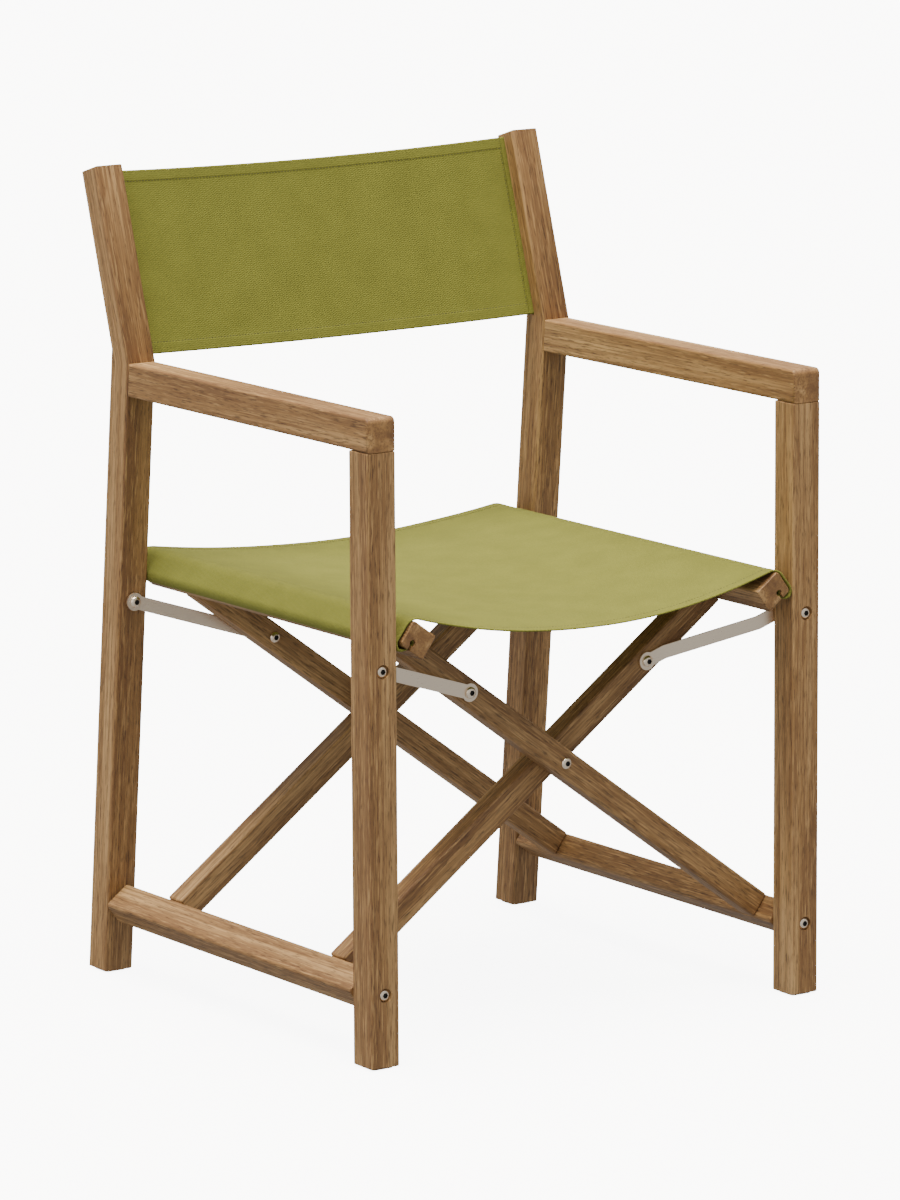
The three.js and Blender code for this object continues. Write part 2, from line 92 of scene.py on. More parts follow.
# one stitch: share of its length, then radius and rise in thread widths
STITCH_SHAPE = ((0, 0.35, -0.35), (0.2, 0.9, 0.1), (0.8, 0.9, 0.1), (1, 0.35, -0.35))
HEAD_RADIUS = 0.0063
HEAD_HEIGHT = 0.0034
THICK_SHANK = 0.004  # radius at the pivots and the crossing
THIN_SHANK = 0.003  # radius at the links
SHORTEST_SHANK = 0.004  # a shorter one is a stub on a link
WOODEN_PIECES = 14
YARN_SPACING = 2.2  # yarns are 0.5 mm apart; drawn 2.2 mm apart, the finest that shows
CAMERA_PLACE = (-3.993, -5.8181, 1.754)
CAMERA_TURN = (34.483, 10.7205, -0.319)  # yaw, pitch and roll, in degrees
CAMERA_LENS = 201.5
PAPER_REACH = 60
SIDES = ("left", "right")
PLACES = ("front", "back")


def linear(code):
    """sRGB hex to linear red, green and blue."""
    parts = [int(code[i : i + 2], 16) / 255 for i in (1, 3, 5)]
    return tuple(c / 12.92 if c <= 0.04045 else ((c + 0.055) / 1.055) ** 2.4 for c in parts)


def rgba(colour):
    return (*tuple(colour)[:3], 1.0)


# Sizes and colours a user may change


class ChairCanvas(bpy.types.PropertyGroup):
    """The canvas of both slings."""

    thickness: FloatProperty(
        name="Thickness", description="Thickness of the canvas", default=1.1 * MM,
        unit="LENGTH", subtype="DISTANCE",
    )
    hem: FloatProperty(
        name="Hem", description="Edge of the cloth to the hem's stitching", default=11.5 * MM,
        unit="LENGTH", subtype="DISTANCE",
    )
    front_sag: FloatProperty(
        name="Front sag", description="Sag of the seat's front edge at mid-span", default=33 * MM,
        unit="LENGTH", subtype="DISTANCE",
    )
    back_sag: FloatProperty(
        name="Back sag", description="Sag of the seat's back edge at mid-span", default=17 * MM,
        unit="LENGTH", subtype="DISTANCE",
    )
    stitch: FloatProperty(
        name="Stitch", description="Length of one stitch", default=3.0 * MM,
        unit="LENGTH", subtype="DISTANCE",
    )
    thread: FloatProperty(
        name="Thread", description="Diameter of the sewing thread", default=0.7 * MM,
        unit="LENGTH", subtype="DISTANCE",
    )
    colour: FloatVectorProperty(
        name="Canvas colour", description="Colour of the woven canvas", default=linear("#83853A"),
        subtype="COLOR", size=3, min=0, max=1,
    )
    thread_colour: FloatVectorProperty(
        name="Thread colour", description="Colour of the sewing thread", default=linear("#55532A"),
        subtype="COLOR", size=3, min=0, max=1,
    )


class ChairTimber(bpy.types.PropertyGroup):
    """The oiled hardwood."""

    pale: FloatVectorProperty(
        name="Pale wood", description="Lightest growth bands", default=linear("#D0A872"),
        subtype="COLOR", size=3, min=0, max=1,
    )
    middle: FloatVectorProperty(
        name="Middle wood", description="Main colour of the wood", default=linear("#A27A4B"),
        subtype="COLOR", size=3, min=0, max=1,
    )
    deep: FloatVectorProperty(
        name="Deep wood", description="Darkest growth bands", default=linear("#775433"),
        subtype="COLOR", size=3, min=0, max=1,
    )
    pore: FloatVectorProperty(
        name="Pores", description="Open pores along the grain", default=linear("#38230F"),
        subtype="COLOR", size=3, min=0, max=1,
    )


class ChairMetal(bpy.types.PropertyGroup):
    """The stainless fittings."""

    steel: FloatVectorProperty(
        name="Steel", description="Colour of the stainless steel", default=linear("#FFF0DC"),
        subtype="COLOR", size=3, min=0, max=1,
    )
    socket: FloatProperty(
        name="Socket", description="Half the bolts' hexagon socket, across its flats",
        default=2.5 * MM, unit="LENGTH", subtype="DISTANCE",
    )


# Nodes and materials


def add(tree, kind, values=None, links=None, **settings):
    """Adds one node, with its settings, its sockets' values and the links into it."""
    node = tree.nodes.new(kind)
    for name, value in settings.items():
        setattr(node, name, value)
    for socket, value in (values or {}).items():
        node.inputs[socket].default_value = value
    for socket, source in (links or {}).items():
        tree.links.new(source, node.inputs[socket])
    return node


def new_material(name):
    material = bpy.data.materials.new(name)
    material.use_nodes = True
    material.node_tree.nodes.clear()
    return material, material.node_tree


def finish_material(tree, shader):
    add(tree, "ShaderNodeOutputMaterial", links={"Surface": shader.outputs[0]})


def ramp(tree, source, stops, interpolation="LINEAR"):
    node = add(tree, "ShaderNodeValToRGB", links={0: source})
    node.color_ramp.interpolation = interpolation
    elements = node.color_ramp.elements
    while len(elements) < len(stops):
        elements.new(0.5)
    for element, (place, colour) in zip(elements, stops):
        element.position = place
        element.color = rgba(colour) if hasattr(colour, "__len__") else (colour,) * 3 + (1.0,)
    return node.outputs[0]


def blended(tree, factor, first, second, kind="MIX"):
    links = {}
    values = {}
    for socket, item in ((0, factor), (6, first), (7, second)):
        if isinstance(item, bpy.types.NodeSocket):
            links[socket] = item
        else:
            values[socket] = item
    node = add(tree, "ShaderNodeMix", values, links, data_type="RGBA", blend_type=kind)
    return node.outputs[2]


def per_metre(millimetres):
    """Noise scale whose features are about this size."""
    return 1000 / millimetres


def band_scale(millimetres):
    """Wave texture scale whose bands repeat at this distance."""
    return 2 * math.pi / 20 / (millimetres * MM)


def along_post(tree, position):
    """Follows the back post's kink, so that its grain runs up both parts of it."""
    axes = add(tree, "ShaderNodeSeparateXYZ", links={0: position})
    rise = add(tree, "ShaderNodeMath", {1: ARM_TOP}, {0: axes.outputs[2]}, operation="SUBTRACT")
    above, below = (
        add(tree, "ShaderNodeMath", {1: lean}, {0: rise.outputs[0]}, operation="MULTIPLY")
        for lean in (UPPER_LEAN, -LOWER_LEAN)
    )
    run = add(
        tree, "ShaderNodeMath", links={0: above.outputs[0], 1: below.outputs[0]},
        operation="MAXIMUM",
    )
    level = add(
        tree, "ShaderNodeMath", links={0: axes.outputs[1], 1: run.outputs[0]},
        operation="SUBTRACT",
    )
    moved = add(
        tree, "ShaderNodeCombineXYZ",
        links={0: axes.outputs[0], 1: level.outputs[0], 2: axes.outputs[2]},
    )
    return moved.outputs[0]


def grain_coordinates(tree, turn, kinked):
    """Object coordinates with the grain along X, moved to another place in the log per piece."""
    position = add(tree, "ShaderNodeTexCoord").outputs["Object"]
    if kinked:
        position = along_post(tree, position)
    lie = add(tree, "ShaderNodeMapping", {"Rotation": turn}, {"Vector": position})
    piece = add(tree, "ShaderNodeObjectInfo")
    shift = add(
        tree, "ShaderNodeVectorMath", {1: (7.0, 3.1, 5.3)}, {0: piece.outputs["Random"]},
        operation="MULTIPLY",
    )
    place = add(
        tree, "ShaderNodeVectorMath", links={0: lie.outputs[0], 1: shift.outputs[0]},
        operation="ADD",
    )
    return place.outputs[0], piece.outputs["Random"]


def side_grain(tree, turn):
    """1 on the faces that the grain runs along, a quarter on the sawn ends."""
    facing = add(tree, "ShaderNodeTexCoord").outputs["Normal"]
    lie = add(
        tree, "ShaderNodeMapping", {"Rotation": turn}, {"Vector": facing}, vector_type="VECTOR"
    )
    axes = add(tree, "ShaderNodeSeparateXYZ", links={0: lie.outputs[0]})
    end = add(tree, "ShaderNodeMath", links={0: axes.outputs[0]}, operation="ABSOLUTE")
    return add(
        tree, "ShaderNodeMapRange", {1: 0.75, 2: 0.95, 3: 1.0, 4: 0.25}, {0: end.outputs[0]}
    ).outputs[0]


def figure(tree, place, along, across, detail, distortion=0.0):
    """Noise drawn out along the grain; along and across are its feature sizes in millimetres."""
    stretch = (per_metre(along), per_metre(across), per_metre(across))
    mapped = add(tree, "ShaderNodeMapping", {"Scale": stretch}, {"Vector": place})
    return add(
        tree, "ShaderNodeTexNoise",
        {"Scale": 1.0, "Detail": detail, "Roughness": 0.6, "Distortion": distortion},
        {"Vector": mapped.outputs[0]},
    ).outputs[0]


def scaled(tree, amount, share):
    """One amount times another."""
    return add(
        tree, "ShaderNodeMath", links={0: amount, 1: share}, operation="MULTIPLY"
    ).outputs[0]


def hardwood(name, turn, colours, kinked=False, tone_and_light=(0.76, 0.9)):
    """Oiled, planed hardwood: warm tan with long darker bands and short open pores, which read as
    fine dark dashes along the grain, under a thin oil sheen. The last argument is the range of
    random shades from piece to piece; set higher, it paints a piece paler as painted light."""
    material, tree = new_material(name)
    place, piece = grain_coordinates(tree, turn, kinked)
    bands = figure(tree, place, 700, 26, 3, 0.5)
    body = ramp(tree, bands, ((0.32, colours.deep), (0.5, colours.middle), (0.68, colours.pale)))
    # random shade per piece; where its range is raised this is painted light, the piece made paler as
    # if more light fell on it
    board_and_light = ramp(tree, piece, ((0.0, tone_and_light[0]), (1.0, tone_and_light[1])))
    body = blended(tree, 1.0, body, board_and_light, "MULTIPLY")
    # growth lines 3 mm apart
    lines = figure(tree, place, 190, 2.9, 4, 0.2)
    body = blended(tree, ramp(tree, lines, ((0.44, 0.0), (0.6, 0.65))), body, rgba(colours.deep))
    # pale, worn fibres between the pores
    fibres = figure(tree, place, 34, 1.7, 2)
    side = side_grain(tree, turn)
    worn = scaled(tree, ramp(tree, fibres, ((0.53, 0.0), (0.68, 0.55))), side)
    body = blended(tree, worn, body, rgba(colours.pale))
    # pores are 0.3 mm wide; drawn 1.5 mm wide, or they would not show
    pores = figure(tree, place, 17, 1.5, 2)
    holes = scaled(tree, ramp(tree, pores, ((0.54, 0.0), (0.68, 0.62))), side)
    body = blended(tree, holes, body, rgba(colours.pore))
    relief = add(
        tree, "ShaderNodeBump", {"Strength": 0.35, "Distance": 0.3 * MM}, {"Height": holes},
        invert=True,
    )
    sheen = ramp(tree, lines, ((0.3, 0.5), (0.7, 0.66)))
    shader = add(
        tree, "ShaderNodeBsdfPrincipled", {"IOR": 1.5, "Specular IOR Level": 0.5},
        {"Base Color": body, "Roughness": sheen, "Normal": relief.outputs[0]},
    )
    finish_material(tree, shader)
    return material


def woven_yarns(tree, cut):
    """Height of the twill: ribs on the slant, crossed by the weft."""
    turned_cut = add(
        tree, "ShaderNodeMapping", {"Rotation": (0, 0, math.radians(63))}, {"Vector": cut}
    ).outputs[0]
    ribs, weft = (
        add(
            tree, "ShaderNodeTexWave",
            {"Scale": band_scale(YARN_SPACING), "Distortion": distortion, "Detail": 1},
            {"Vector": place}, wave_type="BANDS", bands_direction=direction,
        ).outputs["Fac"]
        for place, direction, distortion in ((turned_cut, "X", 0.6), (cut, "Y", 0.5))
    )
    return blended(tree, 0.45, ribs, weft)


def canvas_material(name, colour):
    """Heavy cotton twill, woven and dyed in the piece: matt, with a soft bloom at grazing angles
    and a faint unevenness in the dye."""
    material, tree = new_material(name)
    cut = add(tree, "ShaderNodeUVMap", uv_map="cut").outputs[0]
    cloudy = add(
        tree, "ShaderNodeTexNoise", {"Scale": per_metre(45), "Detail": 3, "Roughness": 0.6},
        {"Vector": cut},
    ).outputs[0]
    fleck = add(
        tree, "ShaderNodeTexNoise", {"Scale": per_metre(2.6), "Detail": 2, "Roughness": 0.7},
        {"Vector": cut},
    ).outputs[0]
    dark = tuple(c * 0.94 for c in colour)
    pale = tuple(min(1, c * 1.05) for c in colour)
    body = ramp(tree, cloudy, ((0.35, dark), (0.65, pale)))
    body = blended(tree, 1.0, body, ramp(tree, fleck, ((0.3, 0.88), (0.7, 1.04))), "MULTIPLY")
    weave = woven_yarns(tree, cut)
    # the weave's low parts are painted darker: painted shade between the yarns, beside their bump
    body = blended(tree, 1.0, body, ramp(tree, weave, ((0.0, 0.78), (1.0, 1.08))), "MULTIPLY")
    relief = add(
        tree, "ShaderNodeBump", {"Strength": 0.6, "Distance": 0.4 * MM}, {"Height": weave}
    )
    loose = add(
        tree, "ShaderNodeBump", {"Strength": 0.25, "Distance": 0.6 * MM},
        {"Height": fleck, "Normal": relief.outputs[0]},
    )
    shader = add(
        tree, "ShaderNodeBsdfPrincipled",
        {"Roughness": 0.92, "IOR": 1.45, "Specular IOR Level": 0.2, "Sheen Weight": 0.05,
         "Sheen Roughness": 0.5},
        {"Base Color": body, "Normal": loose.outputs[0]},
    )
    finish_material(tree, shader)
    return material


def thread_material(name, colour):
    """Spun polyester sewing thread: twisted, slightly shinier than the canvas."""
    material, tree = new_material(name)
    place = add(tree, "ShaderNodeTexCoord").outputs["Object"]
    twist = add(
        tree, "ShaderNodeTexNoise", {"Scale": per_metre(1.2), "Detail": 2}, {"Vector": place}
    ).outputs[0]
    dark = tuple(c * 0.7 for c in colour)
    body = ramp(tree, twist, ((0.35, dark), (0.65, tuple(colour))))
    shader = add(
        tree, "ShaderNodeBsdfPrincipled", {"Roughness": 0.6, "IOR": 1.5}, {"Base Color": body}
    )
    finish_material(tree, shader)
    return material


def brushed_stainless(name, colour, rough, grain=(2.0, 2.0, 2.0)):
    """Stainless steel, stamped or turned and lightly brushed: bright, with fine directional
    scratches that soften its reflections. grain is the scratches' size in millimetres."""
    material, tree = new_material(name)
    place = add(tree, "ShaderNodeTexCoord").outputs["Object"]
    stretch = tuple(per_metre(size) for size in grain)
    mapped = add(tree, "ShaderNodeMapping", {"Scale": stretch}, {"Vector": place}).outputs[0]
    scratch = add(
        tree, "ShaderNodeTexNoise", {"Scale": 1.0, "Detail": 4, "Roughness": 0.7},
        {"Vector": mapped},
    ).outputs[0]
    dull = ramp(tree, scratch, ((0.3, rough - 0.08), (0.7, rough + 0.1)))
    tint = ramp(tree, scratch, ((0.3, tuple(c * 0.95 for c in colour)), (0.7, tuple(colour))))
    relief = add(
        tree, "ShaderNodeBump", {"Strength": 0.12, "Distance": 0.05 * MM}, {"Height": scratch}
    )
    shader = add(
        tree, "ShaderNodeBsdfPrincipled", {"Metallic": 1.0, "Anisotropic": 0.3},
        {"Base Color": tint, "Roughness": dull, "Normal": relief.outputs[0]},
    )
    finish_material(tree, shader)
    return material


def moulded_plastic(name, colour, rough=0.55):
    """Injection-moulded polyamide or pressed fibre: matt with a fine orange-peel skin."""
    material, tree = new_material(name)
    place = add(tree, "ShaderNodeTexCoord").outputs["Object"]
    skin = add(
        tree, "ShaderNodeTexNoise", {"Scale": per_metre(0.9), "Detail": 2}, {"Vector": place}
    ).outputs[0]
    body = ramp(tree, skin, ((0.3, tuple(c * 0.8 for c in colour)), (0.7, tuple(colour))))
    relief = add(
        tree, "ShaderNodeBump", {"Strength": 0.15, "Distance": 0.1 * MM}, {"Height": skin}
    )
    shader = add(
        tree, "ShaderNodeBsdfPrincipled", {"Roughness": rough, "IOR": 1.5},
        {"Base Color": body, "Normal": relief.outputs[0]},
    )
    finish_material(tree, shader)
    return material


# Meshes


def mesh_object(name, vertices, faces, material):
    mesh = bpy.data.meshes.new(name)
    mesh.from_pydata([tuple(v) for v in vertices], [], faces)
    mesh.update()
    mesh.shade_smooth()
    piece = bpy.data.objects.new(name, mesh)
    bpy.context.scene.collection.objects.link(piece)
    mesh.materials.append(material)
    return piece


def wear(node, material):
    """Gives a CAD node its finish."""
    mesh = frame["nodes"][node].data
    mesh.materials.clear()
    mesh.materials.append(material)


def soften(node, sharp=50, bevel=0.0):
    """Shades a CAD node's rounded edges smoothly and keeps its flat faces flat."""
    piece = frame["nodes"][node]
    piece.data.shade_smooth()
    weld = piece.modifiers.new("Join", "WELD")
    weld.merge_threshold = 0.01 * MM
    if bevel:
        rim = piece.modifiers.new("Broken edges", "BEVEL")
        rim.width = bevel
        rim.segments = 2
        rim.limit_method = "ANGLE"
        rim.angle_limit = math.radians(sharp)
    split = piece.modifiers.new("Hard edges", "EDGE_SPLIT")
    split.split_angle = math.radians(sharp)
    split.use_edge_sharp = False
    normal = piece.modifiers.new("Flat faces", "WEIGHTED_NORMAL")
    normal.weight = 80


def sheet_normals(points):
    """Unit normals of a grid of points, rows by columns by 3."""
    rows = np.gradient(points, axis=0)
    columns = np.gradient(points, axis=1)
    normal = np.cross(columns, rows)
    return normal / np.linalg.norm(normal, axis=2, keepdims=True)


def rim_of(index):
    """Indices round the outside of a grid, in order."""
    rows, columns = index.shape
    rim = [index[0, j] for j in range(columns)]
    rim += [index[i, -1] for i in range(1, rows)]
    rim += [index[-1, j] for j in range(columns - 2, -1, -1)]
    rim += [index[i, 0] for i in range(rows - 2, 0, -1)]
    return rim


def rim_points(flat, normal, thickness, rim):
    """Points a little outside the rim, which round the cloth's edge."""
    centre = flat.mean(0)
    edge = []
    for k, v in enumerate(rim):
        before, after = flat[rim[k - 1]], flat[rim[(k + 1) % len(rim)]]
        out = np.cross(after - before, normal[v])
        out = out / max(np.linalg.norm(out), 1e-9)
        if out @ (flat[v] - centre) < 0:
            out = -out
        edge.append(flat[v] + out * thickness[v] * 0.45)
    return edge


def cloth(name, points, thickness, cut, material):
    """A closed sheet about a grid of points: two faces and a rounded edge. cut is the flat
    position of each point, in metres, for the weave."""
    rows, columns = points.shape[:2]
    normal = sheet_normals(points)
    half = (thickness / 2)[..., None]
    top = (points + normal * half).reshape(-1, 3)
    under = (points - normal * half).reshape(-1, 3)
    count = rows * columns
    index = np.arange(count).reshape(rows, columns)
    faces = []
    for i in range(rows - 1):
        for j in range(columns - 1):
            quad = [index[i, j], index[i, j + 1], index[i + 1, j + 1], index[i + 1, j]]
            faces.append([int(v) for v in quad])
            faces.append([int(v) + count for v in reversed(quad)])
    rim = rim_of(index)
    edge = rim_points(points.reshape(-1, 3), normal.reshape(-1, 3), thickness.reshape(-1), rim)
    for k, v in enumerate(rim):
        w = rim[(k + 1) % len(rim)]
        a, b = 2 * count + k, 2 * count + (k + 1) % len(rim)
        faces.append([int(v), a, b, int(w)])
        faces.append([a, int(v) + count, int(w) + count, b])
    piece = mesh_object(name, np.vstack([top, under, edge]), faces, material)
    flat_cut = cut.reshape(-1, 2)
    places = np.vstack([flat_cut, flat_cut, flat_cut[rim]])
    layer = piece.data.uv_layers.new(name="cut")
    corners = np.zeros(len(piece.data.loops), np.int32)
    piece.data.loops.foreach_get("vertex_index", corners)
    layer.data.foreach_set("uv", places[corners].astype(np.float32).ravel())
    return piece


def add_stitch(vertices, faces, ends, up, thread):
    """One raised stitch between two points, its ends sunk into the cloth."""
    sides = 6
    axis = (ends[1] - ends[0]) / np.linalg.norm(ends[1] - ends[0])
    across = np.cross(axis, up)
    across /= np.linalg.norm(across)
    up = np.cross(across, axis)
    base = len(vertices)
    for share, radius, rise in STITCH_SHAPE:
        middle = ends[0] + (ends[1] - ends[0]) * share + up * rise * thread
        for s in range(sides):
            turn = 2 * math.pi * s / sides
            ring = across * math.cos(turn) + up * math.sin(turn)
            vertices.append(middle + ring * radius * thread / 2)
    for ring in range(3):
        for s in range(sides):
            a = base + ring * sides + s
            b = base + ring * sides + (s + 1) % sides
            faces.append([a, b, b + sides, a + sides])
    faces.append([base + s for s in reversed(range(sides))])
    faces.append([base + 3 * sides + s for s in range(sides)])


def stitching(name, lines, length, thread, material):
    """Rows of machine stitches. Each line is (points, normals), from end to end of a row."""
    vertices, faces = [], []
    for path, lift in lines:
        steps = np.linalg.norm(np.diff(path, axis=0), axis=1)
        distance = np.concatenate([[0], np.cumsum(steps)])
        pitch = length * STITCH_PITCH
        for number in range(int(distance[-1] / pitch)):
            start = number * pitch + 0.15 * length
            ends = []
            for d in (start, start + length):
                ends.append(np.array([np.interp(d, distance, path[:, k]) for k in range(3)]))
            up = np.array([np.interp(start, distance, lift[:, k]) for k in range(3)])
            add_stitch(vertices, faces, ends, up, thread)
    return mesh_object(name, vertices, faces, material)


def turned_part(name, profile, centre, facing, material, inside=None, sides=48):
    """A part turned about Y from (radius, height) pairs; a pair with a third, true value is
    hexagonal, its radius measured across the flats. facing is -1 where its head faces -Y, and
    inside is the near-black material of its socket, painted shade for the shadow in the recess."""
    vertices, faces = [], []
    for ring in profile:
        radius, height = ring[0], ring[1]
        for s in range(sides):
            turn = 2 * math.pi * s / sides
            reach = radius
            if len(ring) > 2:
                reach = radius / math.cos((turn % (math.pi / 3)) - math.pi / 6)
            vertices.append(
                centre + Vector((reach * math.cos(turn), facing * height, reach * math.sin(turn)))
            )
    for ring in range(len(profile) - 1):
        for s in range(sides):
            a = ring * sides + s
            b = ring * sides + (s + 1) % sides
            if facing < 0:
                a, b = b, a
            faces.append([a, b, b + sides, a + sides])
    faces.append([s if facing < 0 else sides - 1 - s for s in range(sides)])
    last = (len(profile) - 1) * sides
    faces.append([last + (sides - 1 - s if facing < 0 else s) for s in range(sides)])
    piece = mesh_object(name, vertices, faces, material)
    if inside:
        piece.data.materials.append(inside)
        # the socket's walls and floor take the near-black painted shade
        for face in piece.data.polygons:
            if min(face.vertices) >= last - 3 * sides:
                face.material_index = 1
    return piece


def button_head(node, facing, body, shank, material, inside, socket):
    """A socket-head button bolt in place of a CAD bolt, its rim rounded and its dome polished."""
    low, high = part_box(node)
    radius, height = HEAD_RADIUS, HEAD_HEIGHT
    crown = low.y if facing < 0 else high.y
    centre = Vector(((low.x + high.x) / 2, crown - facing * height, (low.z + high.z) / 2))
    length = high.y - low.y - height
    if length < SHORTEST_SHANK:
        shank = min(shank, THIN_SHANK)
    profile = [
        (shank, -length), (shank, -0.1 * MM), (radius - 0.35 * MM, 0),
        (radius - 0.08 * MM, 0.12 * MM), (radius, 0.45 * MM), (radius - 0.06 * MM, 0.95 * MM),
        (radius * 0.93, 1.55 * MM), (radius * 0.84, 2.2 * MM), (radius * 0.71, 2.82 * MM),
        (radius * 0.58, 3.22 * MM), (radius * 0.5, 3.36 * MM),
        (socket + 0.25 * MM, 3.38 * MM, True), (socket, 3.2 * MM, True),
        (socket - 0.05 * MM, 1.2 * MM, True), (socket * 0.35, 0.7 * MM),
    ]
    piece = turned_part(f"{node}_turned", profile, centre, facing, material, inside)
    split = piece.modifiers.new("Hard edges", "EDGE_SPLIT")
    split.split_angle = math.radians(52)
    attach(piece, body)
    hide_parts(node)
    return piece


def body_with(node):
    for body, members in frame["record"]["behaviour"]["bodies"].items():
        if node in members:
            return body
    raise RuntimeError(f"no body holds {node}")


# Slings


def hem_rows(length, hem):
    """Places along a sling from edge to edge, close together at both hems."""
    near = [0, 0.6, 2, 5, 8]
    near += [hem / MM + step for step in (-1.8, -1.0, -0.45, 0, 0.45, 1.0, 1.8, 4, 8)]
    near = [place * MM for place in near]
    middle = np.arange(near[-1] + 7 * MM, length - near[-1] - 4 * MM, 7 * MM)
    return np.array(near + list(middle) + [length - place for place in reversed(near)])


def hem_shape(places, length, hem, thickness):
    """Thickness across a sling: doubled in the hems, pinched along their stitching."""
    inward = np.minimum(places, length - places)
    doubled = 1 / (1 + np.exp((inward - hem - 0.6 * MM) / (0.35 * MM)))
    pinch = np.exp(-(((inward - hem) / (0.7 * MM)) ** 2))
    return thickness * (1 + 0.75 * doubled - 0.55 * pinch)


def ripple(x, y, size, seed):
    return noise.noise(Vector((x / size, y / size, seed)))


def rail_frame(side):
    """Centre of a seat rail's section, and unit vectors out along the leg and up from it."""
    c, s = math.cos(LEG_ANGLE), math.sin(LEG_ANGLE)
    centre = np.array([side * RAIL_REACH * c, 0, CROSSING_HEIGHT + RAIL_REACH * s])
    return centre, np.array([side * c, 0, s]), np.array([-side * s, 0, c])


def edge_slope(sag):
    return math.atan2(2 * sag, SEAT_HALF_SPAN)


def cloth_corner(side, slope, canvas):
    """Centre and radius of the canvas's roll over the rail's upper corner, and the direction in
    which it leaves towards the seat."""
    centre, out, up = rail_frame(side)
    corner = centre + out * (RAIL_HALF[0] - RAIL_CORNER) + up * (RAIL_HALF[1] - RAIL_CORNER)
    leaving = np.array([-side * math.sin(slope), 0, math.cos(slope)])
    middle = leaving + out
    middle /= np.linalg.norm(middle)
    radius = CLOTH_ROLL + RAIL_CORNER + CLOTH_CLEAR + canvas.thickness / 2
    return corner - middle * CLOTH_ROLL, radius, leaving


def rail_edge(side, slope, canvas):
    """Where the seat leaves its roll over the rail."""
    centre, radius, leaving = cloth_corner(side, slope, canvas)
    return centre + leaving * radius


def seat_extent():
    """Front edge of the seat canvas, and its length along the rails."""
    low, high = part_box("seat_rail_left")
    return low.y + RAIL_OVERHANG, high.y - low.y - 2 * RAIL_OVERHANG


def seat_sag(share, canvas):
    """Sag at mid-span; share runs from 0 at the front edge to 1 at the back."""
    return canvas.front_sag + (canvas.back_sag - canvas.front_sag) * share ** 0.8


def seat_surface(canvas):
    """Mid-surface of the seat between the rails, and its flat positions."""
    front, length = seat_extent()
    rows = hem_rows(length, canvas.hem)
    across = np.linspace(-1, 1, 97)
    points = np.zeros((len(rows), len(across), 3))
    cut = np.zeros((len(rows), len(across), 2))
    for i, row in enumerate(rows):
        sag = seat_sag(row / length, canvas)
        edge = rail_edge(1, edge_slope(sag), canvas)
        y = front + row
        for j, t in enumerate(across):
            x = t * edge[0]
            free = 1 - t * t
            z = edge[2] - sag * free
            z += 0.9 * MM * free * ripple(x, y * 0.35, 0.16, 2.0)
            z += 0.35 * MM * min(1, free * 6) * ripple(x * 0.25, y, 0.035, 5.0)
            points[i, j] = (x, y, z)
            cut[i, j] = (x * 1.01, y)
    return points, cut, rows, length


def sleeve_path(side, slope, canvas):
    """Section of the canvas round a seat rail, from its upper roll into the keyhole slot."""
    centre, out, up = rail_frame(side)
    w, h = RAIL_HALF
    roll_centre, roll_radius, leaving = cloth_corner(side, slope, canvas)
    start = math.atan2(leaving @ up, leaving @ out)
    path = []
    for turn in np.linspace(start, 0, 12):
        path.append(roll_centre + (out * math.cos(turn) + up * math.sin(turn)) * roll_radius)
    stand = (path[-1] - centre) @ out - w
    lower = centre + out * (w - RAIL_CORNER) - up * (h - RAIL_CORNER)
    for turn in np.linspace(0, -math.pi / 2, 8):
        reach = RAIL_CORNER + stand + (0.3 + 1.3 * abs(turn)) * MM
        path.append(lower + (out * math.cos(turn) + up * math.sin(turn)) * reach)
    slot = centre + out * (w - SLOT_INSET) - up * (h - SLOT_DEPTH)
    mouth = slot - up * (SLOT_DEPTH + 0.9 * MM)
    path.append(mouth + out * 4.4 * MM - up * 2.6 * MM)
    path.append(mouth + out * 2 * MM - up * 0.9 * MM)
    path.append(mouth + out * 0.6 * MM + up * 0.3 * MM)
    roll = 2.3 * MM + canvas.thickness / 2
    path.append(slot - up * (roll + 0.6 * MM))
    for turn in np.linspace(-math.pi / 2, math.pi * 1.35, 15):
        path.append(slot + (-out * math.cos(turn) + up * math.sin(turn)) * roll)
    return np.array(path)


def sleeve(side, canvas, material):
    """The seat's edge, wrapped round its rail, with the hem's roll in the keyhole."""
    name = SIDES[side > 0]
    front, length = seat_extent()
    rows = hem_rows(length, canvas.hem)
    points, cut = [], []
    for row in rows:
        path = sleeve_path(side, edge_slope(seat_sag(row / length, canvas)), canvas)
        run = np.concatenate([[0], np.cumsum(np.linalg.norm(np.diff(path, axis=0), axis=1))])
        y = front + row
        path[:, 1] = y
        points.append(path)
        cut.append([(SLEEVE_START + r, y) for r in run])
    points, cut = np.array(points), np.array(cut)
    if side < 0:
        points, cut = points[:, ::-1], cut[:, ::-1]
    thickness = np.repeat(
        np.minimum(hem_shape(rows, length, canvas.hem, canvas.thickness), 1.5 * MM)[:, None],
        points.shape[1], axis=1,
    )
    step = np.arange(points.shape[1])
    if side < 0:
        step = step[::-1]
    in_slot = step >= 21
    thickness *= 1 + 0.8 * np.clip((step - 2) / 8, 0, 1) * ~in_slot
    thickness[:, in_slot] = np.minimum(thickness[:, in_slot], 0.9 * MM)
    piece = cloth(f"seat_sleeve_{name}", points, thickness, cut, material)
    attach(piece, "outer_frame" if side < 0 else "inner_frame")
    return piece


def seam_line(points, row, thickness):
    """Points and normals of a stitched line along one row of a sheet, on its upper face."""
    normal = sheet_normals(points)[row]
    return points[row] + normal * (thickness / 2), normal


def front_seam(points, row, thickness):
    """The same on the face towards the front."""
    normal = sheet_normals(points)[row]
    normal = normal * -np.sign(normal[:, 1:2])
    return points[row] + normal * thickness / 2, normal


